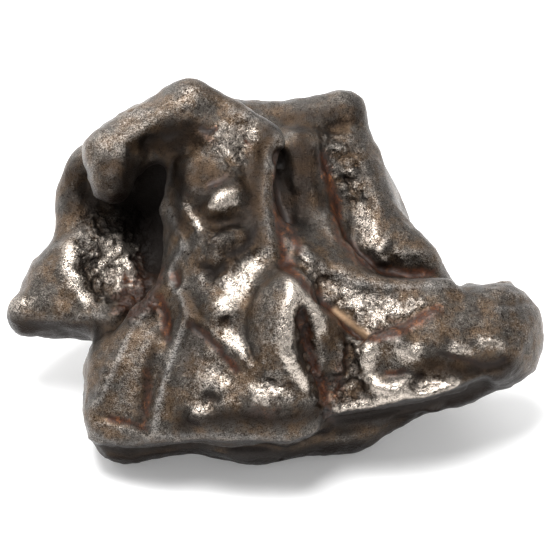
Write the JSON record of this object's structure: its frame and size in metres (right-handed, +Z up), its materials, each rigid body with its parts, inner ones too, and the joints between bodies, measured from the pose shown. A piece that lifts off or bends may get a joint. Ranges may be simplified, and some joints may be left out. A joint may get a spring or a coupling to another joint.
{
  "type": "meteorite",
  "caption": "Solid iron meteorite with a hooked crest, a pointed horn, a long blunt arm and deep thumbprint hollows; stands free on its lower bumps.",
  "frame": {"origin": "centre of the stone's footprint box, at the height of the table it stands on", "axes": "+Z up; +X along the stone's longest side, from the pointed horn to the blunt arm; the carved face looks towards -Y and leans back"},
  "size_m": [0.0544, 0.0355, 0.0314],
  "materials": {
    "iron": "worn dark grey metal, shinier on its high places, rust brown in its hollows"
  },
  "bodies": {
    "root": {"meteorite": "iron"}
  },
  "joints": []
}
